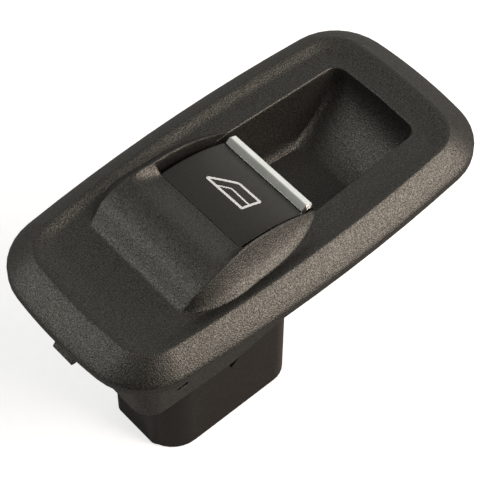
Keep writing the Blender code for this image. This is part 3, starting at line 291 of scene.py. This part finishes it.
def plated():
    """Bright chrome plate with faint lengthwise polish lines and a few cloudy spots."""
    finish = Finish("chrome_plate")
    lines = finish.noise(0.0012, 3.0, 0.6, stretch=(6.0, 0.35, 6.0))
    cloud = finish.noise(0.004, 2.0, 0.5)
    grain = finish.noise(0.0005, 3.0, 0.6)
    tone = finish.ramp(cloud, [(0.3, (0.72, 0.72, 0.69)), (0.7, (0.82, 0.82, 0.79))])
    finish.colour(finish.mix(finish.spread(grain, 0.0, 0.35, 0.45, 0.75), tone, (0.60, 0.60, 0.57)))
    finish.roughness(finish.spread(lines, 0.13, 0.24, 0.3, 0.7))
    finish.round_edges(0.00030)
    finish.bump(lines, 0.000006, 0.5)
    finish.bump(grain, 0.000006, 0.5)
    finish.constants(Metallic=1.0)
    return finish.material


def metal(name, dark, light, size, rough, stretch, spots=None):
    """Bare or tinned metal with drawn or rolled lines and a mill haze."""
    finish = Finish(name)
    lines = finish.noise(size, 4.0, 0.62, stretch=stretch)
    haze = finish.noise(size * 6.0, 2.0, 0.5)
    tone = finish.ramp(lines, [(0.3, dark), (0.7, light)])
    finish.colour(finish.mix(finish.spread(haze, 0.0, 0.6, 0.4, 0.8), tone, spots or dark))
    finish.roughness(finish.spread(haze, rough - 0.06, rough + 0.10, 0.3, 0.7))
    finish.round_edges(0.00010)
    finish.bump(lines, 0.000010, 0.6)
    finish.constants(Metallic=1.0)
    return finish.material


def board():
    """Circuit board: green mask over copper tracks, with the glass weave showing faintly."""
    finish = Finish("circuit_board_mask")
    tracks = finish.cells(0.0030, "MANHATTAN")
    weave = finish.noise(0.0004, 2.0, 0.5, stretch=(1.0, 3.0, 1.0))
    dust = finish.noise(0.003, 3.0, 0.6)
    mask = finish.ramp(tracks, [(0.28, (0.010, 0.085, 0.035)), (0.31, (0.018, 0.150, 0.060)),
                                (0.40, (0.018, 0.150, 0.060)), (0.43, (0.008, 0.070, 0.030))])
    finish.colour(finish.mix(finish.spread(dust, 0.0, 0.25, 0.4, 0.8), mask, (0.05, 0.16, 0.09)))
    finish.roughness(finish.spread(weave, 0.22, 0.40, 0.3, 0.7))
    finish.bump(tracks, 0.00002, 0.4)
    finish.bump(weave, 0.00001, 0.5)
    finish.constants(Coat_Weight=0.4, Coat_Roughness=0.15)
    return finish.material


def silicone():
    """Grey, slightly see-through silicone with a fine matt skin."""
    finish = Finish("dome_silicone")
    fine = finish.noise(0.0004, 2.0, 0.5)
    slow = finish.noise(0.0030, 2.0, 0.5)
    finish.colour(finish.ramp(slow, [(0.3, (0.42, 0.44, 0.46)), (0.7, (0.55, 0.57, 0.58))]))
    finish.roughness(finish.spread(fine, 0.42, 0.58, 0.3, 0.7))
    finish.bump(fine, 0.00002, 0.4)
    finish.constants(Subsurface_Weight=0.35, Subsurface_Scale=0.002)
    return finish.material


def acrylic():
    """Clear acrylic with faint lines along it from the mould."""
    finish = Finish("light_guide_acrylic")
    fine = finish.noise(0.0015, 2.0, 0.5)
    lines = finish.noise(0.0004, 3.0, 0.6, stretch=(4.0, 4.0, 0.4))
    finish.colour(finish.ramp(fine, [(0.3, (0.86, 0.90, 0.92)), (0.7, (0.95, 0.97, 0.98))]))
    finish.roughness(finish.spread(lines, 0.04, 0.16, 0.3, 0.7))
    finish.bump(lines, 0.000006, 0.4)
    finish.constants(Transmission_Weight=1.0, IOR=1.49)
    return finish.material


def lamp():
    """Small lamp: white ceramic body with a yellow phosphor patch in the middle of its top."""
    finish = Finish("lamp_body")
    low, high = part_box("led")
    centre = (low + high) / 2
    spot = finish.tree.nodes.new("ShaderNodeMapping")
    spot.vector_type = "TEXTURE"
    spot.inputs["Location"].default_value = (centre.x, centre.y, high.z)
    spot.inputs["Scale"].default_value = (0.0011, 0.0011, 0.0011)
    finish.join(finish.place.outputs["Object"], spot.inputs["Vector"])
    ball = finish.tree.nodes.new("ShaderNodeTexGradient")
    ball.gradient_type = "SPHERICAL"
    finish.join(spot.outputs["Vector"], ball.inputs["Vector"])
    grain = finish.noise(0.0003, 2.0, 0.5)
    ceramic = finish.ramp(grain, [(0.3, (0.66, 0.65, 0.61)), (0.7, (0.78, 0.77, 0.73))])
    patch = finish.spread(ball.outputs["Fac"], 0.0, 1.0, 0.05, 0.15)
    finish.colour(finish.mix(patch, ceramic, (0.80, 0.62, 0.10)))
    finish.roughness(finish.spread(grain, 0.28, 0.42, 0.3, 0.7))
    finish.bump(grain, 0.00001, 0.4)
    return finish.material


def printed():
    """Opaque white print, a little thin in places."""
    finish = Finish("white_print")
    fine = finish.noise(0.00035, 3.0, 0.6)
    slow = finish.noise(0.0020, 2.0, 0.5)
    ink = finish.ramp(fine, [(0.30, (0.42, 0.44, 0.45)), (0.60, (0.54, 0.56, 0.57))])
    finish.colour(finish.mix(finish.spread(slow, 0.0, 0.3, 0.4, 0.8), ink, (0.46, 0.48, 0.49)))
    finish.roughness(finish.spread(fine, 0.45, 0.62, 0.3, 0.7))
    finish.bump(fine, 0.000010, 0.5)
    return finish.material


def dress(names, material):
    """Gives the nodes whose own faces are flat a material."""
    for name in names:
        for slot in nodes[name].material_slots:
            slot.material = material


def smooth(names, material):
    """Puts a welded copy of each node in its place, which shades smoothly across its shallow edges."""
    for name in names:
        weld = bmesh.new()
        weld.from_mesh(nodes[name].data)
        bmesh.ops.remove_doubles(weld, verts=weld.verts, dist=WELD_DISTANCE)
        weld.verts.index_update()
        mesh = bpy.data.meshes.new(f"{name}_surface")
        mesh.from_pydata([corner.co for corner in weld.verts], [],
                         [[corner.index for corner in face.verts] for face in weld.faces])
        weld.free()
        mesh.materials.append(material)
        mesh.shade_smooth()
        mesh.set_sharp_from_angle(angle=SMOOTH_ANGLE)
        item = add_object(f"{name}_surface", mesh)
        even = item.modifiers.new("even_shading", "WEIGHTED_NORMAL")
        even.keep_sharp = True
        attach(item, nodes[name]["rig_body"])
        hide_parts(name)


def press(places):
    """Gives each contact dome's smooth copy a mesh of its own."""
    for place in places:
        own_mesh(bpy.data.objects[f"dome_{place}_surface"])


def rocker_height(x):
    return ROCKER_TOP - ROCKER_ARCH_RADIUS + math.sqrt(ROCKER_ARCH_RADIUS ** 2 - (x - ROCKER_FRONT) ** 2)


def rounded(points, radii, closed):
    """A polyline with its corners rounded, cut into short steps."""
    count = len(points)
    path = []
    for i, (point, radius) in enumerate(zip(points, radii)):
        here = Vector(point)
        if not closed and i in (0, count - 1):
            path.append(here)
            continue
        before = (Vector(points[i - 1]) - here).normalized()
        after = (Vector(points[(i + 1) % count]) - here).normalized()
        half = before.angle(after) / 2
        cut = radius / math.tan(half)
        start = here + before * cut
        end = here + after * cut
        centre = here + (before + after).normalized() * radius / math.sin(half)
        for k in range(PRINT_CORNER_STEPS + 1):
            spoke = (start - centre).lerp(end - centre, k / PRINT_CORNER_STEPS).normalized() * radius
            path.append(centre + spoke)
    fine = []
    for i, here in enumerate(path):
        if not closed and i == len(path) - 1:
            fine.append(here)
            break
        there = path[(i + 1) % len(path)]
        steps = max(1, int((there - here).length / PRINT_STEP))
        fine += [here.lerp(there, k / steps) for k in range(steps)]
    return fine


def stripe(vertices, faces, path, width, closed):
    """Adds a flat stripe along a path on the rocker's top, with a thin edge down to it."""
    count = len(path)
    first = len(vertices)
    for i, here in enumerate(path):
        before = path[i - 1] if closed or i > 0 else here
        after = path[(i + 1) % count] if closed or i < count - 1 else here
        along = (after - before).normalized()
        across = Vector((-along.y, along.x)) * width / 2
        for spot, lift in ((here - across, -PRINT_LIFT), (here - across, PRINT_LIFT),
                           (here + across, PRINT_LIFT), (here + across, -PRINT_LIFT)):
            vertices.append((spot.x, spot.y, rocker_height(spot.x) + lift))
    for i in range(count if closed else count - 1):
        a = first + i * 4
        b = first + ((i + 1) % count) * 4
        for k in range(4):
            n = (k + 1) % 4
            faces.append((a + k, b + k, b + n, a + n))
    if not closed:
        faces.append(tuple(first + k for k in range(4)))
        faces.append(tuple(first + (count - 1) * 4 + k for k in reversed(range(4))))


def window_print():
    """The generic sign for a car window: a four-sided pane with a second line inside it."""
    vertices = []
    faces = []
    stripe(vertices, faces, rounded(PANE_CORNERS, PANE_ROUNDING, True), PANE_LINE, True)
    stripe(vertices, faces, rounded(INNER_CORNERS, INNER_ROUNDING, False), INNER_LINE, False)
    mesh = bpy.data.meshes.new("window_pictogram")
    mesh.from_pydata(vertices, [], faces)
    mesh.materials.append(printed())
    item = add_object("window_pictogram", mesh)
    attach(item, "rocker_body")


def floor():
    """Pale, plain floor that stays white to the camera and keeps the shadow."""
    finish = Finish("pale_floor")
    fine = finish.noise(0.0020, 2.0, 0.5)
    seen = seen_directly(finish.tree)
    pale = finish.ramp(fine, [(0.3, shade(FLOOR_SEEN[0])), (0.7, shade(FLOOR_SEEN[1]))])
    finish.colour(finish.mix(seen, shade(FLOOR_BOUNCE), pale))
    finish.roughness(finish.spread(fine, 0.85, 0.95, 0.3, 0.7))
    finish.join(finish.spread(seen, 0.0, FLOOR_LIFT), finish.shader.inputs["Emission Strength"])
    finish.constants(Specular_IOR_Level=0.0, Emission_Color=(*WHITE, 1.0))
    mesh = bpy.data.meshes.new("floor")
    corners = [(x * FLOOR_REACH, y * FLOOR_REACH, 0.0) for x, y in ((-1, -1), (1, -1), (1, 1), (-1, 1))]
    mesh.from_pydata(corners, [], [(0, 1, 2, 3)])
    mesh.materials.append(finish.material)
    add_object("floor", mesh)


def softbox(name, direction, distance, size, power, colour, shaded=None):
    """A square lamp aimed at the switch. A flag keeps its light off the piece named as shaded."""
    light = bpy.data.lights.new(name, "AREA")
    light.shape = "RECTANGLE"
    light.size, light.size_y = size
    light.energy = power
    light.color = colour
    item = add_object(name, light)
    item.location = LAMP_TARGET + Vector(direction).normalized() * distance
    item.rotation_euler = (item.location - LAMP_TARGET).to_track_quat("Z", "Y").to_euler()
    if shaded:
        flag = bpy.data.collections.new(f"{name}_flag")
        flag.objects.link(bpy.data.objects[shaded])
        flag.collection_objects[0].light_linking.link_state = "EXCLUDE"
        item.light_linking.receiver_collection = flag


def sky():
    """Plain surroundings: dim on the near side, paler on the far side, white to the camera."""
    world = bpy.data.worlds.new("surroundings")
    scene.world = world
    world.use_nodes = True
    tree = world.node_tree
    tree.nodes.clear()
    place = tree.nodes.new("ShaderNodeTexCoord")
    aside = tree.nodes.new("ShaderNodeVectorMath")
    aside.operation = "DOT_PRODUCT"
    aside.inputs[1].default_value = SKY_SLOPE
    tree.links.new(place.outputs["Generated"], aside.inputs[0])
    middle = tree.nodes.new("ShaderNodeMath")
    middle.inputs[1].default_value = 0.5
    tree.links.new(aside.outputs["Value"], middle.inputs[0])
    grey = colour_ramp(tree, middle.outputs["Value"],
                       [(position, shade(level, SKY_TINT)) for position, level in SKY_LEVELS])
    background = tree.nodes.new("ShaderNodeBackground")
    tree.links.new(colour_mix(tree, seen_directly(tree), grey, WHITE), background.inputs["Color"])
    output = tree.nodes.new("ShaderNodeOutputWorld")
    tree.links.new(background.outputs["Background"], output.inputs["Surface"])


def camera():
    data = bpy.data.cameras.new("camera")
    data.lens = LENS
    data.sensor_width = SENSOR_WIDTH
    data.clip_start = CLIP_START
    item = add_object("camera", data)
    turn = Matrix((RIGHT, UP, BACK)).transposed().to_4x4()
    item.matrix_world = Matrix.Translation(EYE) @ turn
    scene.camera = item


scene.view_settings.view_transform = "Standard"

# The bezel's edge factor of 7 paints a highlight along its edges, lines of light put into its colour.
smooth(["bezel"], moulded("bezel_plastic", 0.0045, (1.0, 0.97, 0.90), 0.00034, 0.00009, 0.46, speckle=0.5,
                          edge_rub_and_painted_highlight=7.0, edge_radius=0.00028, shine=1.0, gleam=(0.35, 1.0)))
smooth(["rocker"], moulded("rocker_plastic", 0.006, (1.0, 1.0, 0.94), 0.00026, 0.00002, 0.40, speckle=0.15,
                           shine=0.58, gleam=(0.75, 1.0)))
smooth(["chrome_bar"], plated())
smooth(["module_housing"], moulded("housing_plastic", 0.010, (1.0, 0.80, 0.66), 0.00040, 0.00003, 0.36,
                                   speckle=0.12, shine=0.25))
smooth(["carrier"], moulded("carrier_plastic", 0.012, (1.0, 1.0, 1.0), 0.00030, 0.00002, 0.45, speckle=0.12))
smooth([f"plunger_{place}" for place in ENDS_AND_SIDES],
       moulded("plunger_plastic", 0.55, (1.0, 0.98, 0.92), 0.00035, 0.00001, 0.35, speckle=0.05, edge_rub_and_painted_highlight=1.1))
smooth([f"dome_{place}" for place in ENDS_AND_SIDES], silicone())
press(ENDS_AND_SIDES)
smooth(["light_guide"], acrylic())
smooth(["pivot_pin"], metal("pin_steel", (0.42, 0.42, 0.43), (0.62, 0.62, 0.63), 0.0004, 0.22,
                            (1.0, 5.0, 1.0)))
smooth(["retaining_clip"], metal("spring_steel", (0.26, 0.27, 0.29), (0.46, 0.46, 0.47), 0.0005, 0.30,
                                 (1.0, 5.0, 1.0), (0.30, 0.27, 0.24)))
dress(["circuit_board"], board())
dress(["terminal_block"], moulded("block_plastic", 0.30, (1.0, 0.88, 0.66), 0.00035, 0.00002, 0.45,
                                  speckle=0.08, edge_rub_and_painted_highlight=1.2))
dress([f"terminal_{k}" for k in range(1, 7)],
      metal("tinned_copper", (0.60, 0.59, 0.56), (0.78, 0.77, 0.74), 0.0004, 0.26, (5.0, 5.0, 0.6)))
dress(["control_chip", "resistor_left", "resistor_right"],
      moulded("chip_epoxy", 0.016, (1.0, 1.0, 1.0), 0.00015, 0.00001, 0.38, speckle=0.2))
dress(["led"], lamp())

window_print()
floor()
sky()
softbox("near_softbox", (0.48, -0.68, 0.56), 0.60, (0.44, 0.44), 6.2, (1.0, 0.88, 0.79))
softbox("far_fill", (-0.64, 0.44, 0.62), 0.80, (0.34, 0.40), 2.3, (1.0, 0.99, 0.95), "chrome_bar_surface")
softbox("rear_strip", (0.86, 0.44, 0.26), 1.2, (0.60, 0.60), 0.56, (1.0, 1.0, 0.99))
softbox("front_strip", (-0.90, 0.43, 0.10), 1.0, (0.50, 0.16), 0.7, (1.0, 1.0, 0.98))
camera()
